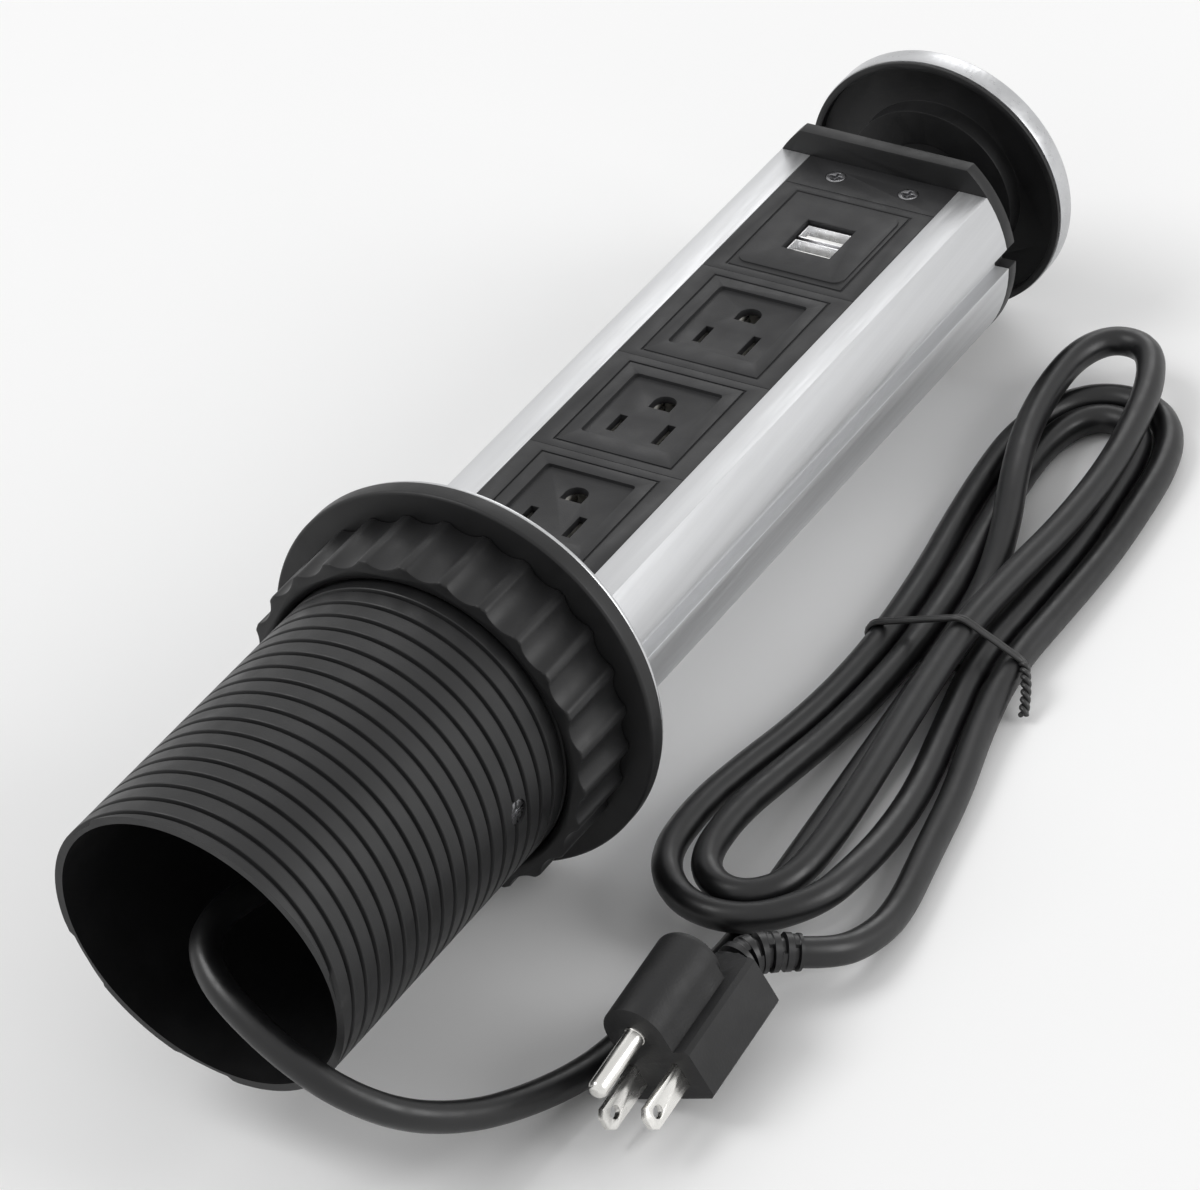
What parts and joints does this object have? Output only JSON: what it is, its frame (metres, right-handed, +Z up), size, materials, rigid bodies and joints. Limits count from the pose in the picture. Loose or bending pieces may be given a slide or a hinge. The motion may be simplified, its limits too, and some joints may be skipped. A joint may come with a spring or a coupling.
{
  "type": "pop up desk socket",
  "caption": "Pop-up desk power tower with outlets and charging ports, sliding in a threaded grommet sleeve with clamp nut, and a tied mains lead with grounded plug.",
  "frame": {"origin": "centre of the bounding box on the surface that the object lies on", "axes": "+X along the tower from the sleeve's mouth to the cap, +Z up, +Y away from the hank; the tower's axis leans 3.67 degrees down towards +X"},
  "size_m": [0.3688, 0.1574, 0.1011],
  "materials": {
    "sleeve_plastic": "moulded black plastic, fine satin",
    "black_plastic": "black plastic, satin",
    "panel_plastic": "black plastic outlet faces, satin",
    "port_plastic": "white port tongues",
    "housing_plastic": "pale insulating plastic",
    "silver_aluminium": "anodised extrusion, fine blast",
    "bright_ring": "bright plated ring",
    "bright_steel": "plated steel",
    "contact_brass": "bare brass contacts",
    "pad_rubber": "friction pads",
    "cord_jacket": "black cord jacket and moulded plug, soft gloss",
    "tie_plastic": "black coated tie",
    "cap_face": "black cap disc",
    "board_green": "circuit board",
    "transformer_black": "transformer core and tape",
    "capacitor_sleeve": "capacitor sleeve",
    "wire_black": "live core",
    "wire_white": "neutral core",
    "wire_green": "ground core"
  },
  "bodies": {
    "sleeve": {"threaded_sleeve": "sleeve_plastic", "flange_trim_ring": "bright_ring", "guide_bushing": "black_plastic", "friction_pads": "pad_rubber", "guide_screw": "bright_steel"},
    "nut": {"clamp_nut": "sleeve_plastic"},
    "tower": {"tower_extrusion": "silver_aluminium", "top_end_plate": "black_plastic", "bottom_stop_plate": "black_plastic", "end_plate_screws": "bright_steel", "upper_blank_panel": "panel_plastic", "lower_blank_panel": "panel_plastic", "panel_screws": "bright_steel", "socket_face_1": "panel_plastic", "socket_face_2": "panel_plastic", "socket_face_3": "panel_plastic", "socket_housing_1": "housing_plastic", "socket_housing_2": "housing_plastic", "socket_housing_3": "housing_plastic", "live_bus_strip": "contact_brass", "neutral_bus_strip": "contact_brass", "ground_bus_strip": "contact_brass", "charger_face": "panel_plastic", "charger_port_shells": "bright_steel", "charger_port_tongues": "port_plastic", "charger_board": "board_green", "charger_housing": "housing_plastic", "charger_transformer": "transformer_black", "charger_capacitors": "capacitor_sleeve", "live_wire": "wire_black", "neutral_wire": "wire_white", "ground_wire": "wire_green", "cord_inner_end": "cord_jacket", "cord_clamp": "black_plastic", "clamp_screws": "bright_steel", "cord_gland": "cord_jacket", "cap_stem": "black_plastic", "cap_base": "black_plastic", "cap_trim_ring": "bright_ring", "cap_cover": "cap_face", "cap_screw": "bright_steel", "cord_lead": "cord_jacket", "cord_hank": "cord_jacket", "hank_tie": "tie_plastic", "cord_tail": "cord_jacket", "plug_strain_relief": "cord_jacket", "plug_body": "cord_jacket", "plug_blades": "contact_brass", "plug_ground_pin": "contact_brass"}
  },
  "joints": [
    {"name": "tower_slide", "type": "slide", "parent": "sleeve", "child": "tower", "axis": [0.9979, 0, -0.064], "range_m": [-0.228, 0]},
    {"name": "nut_slide", "type": "slide", "parent": "sleeve", "child": "nut", "axis": [0.9979, 0, -0.064], "range_m": [-0.085, 0]}
  ]
}
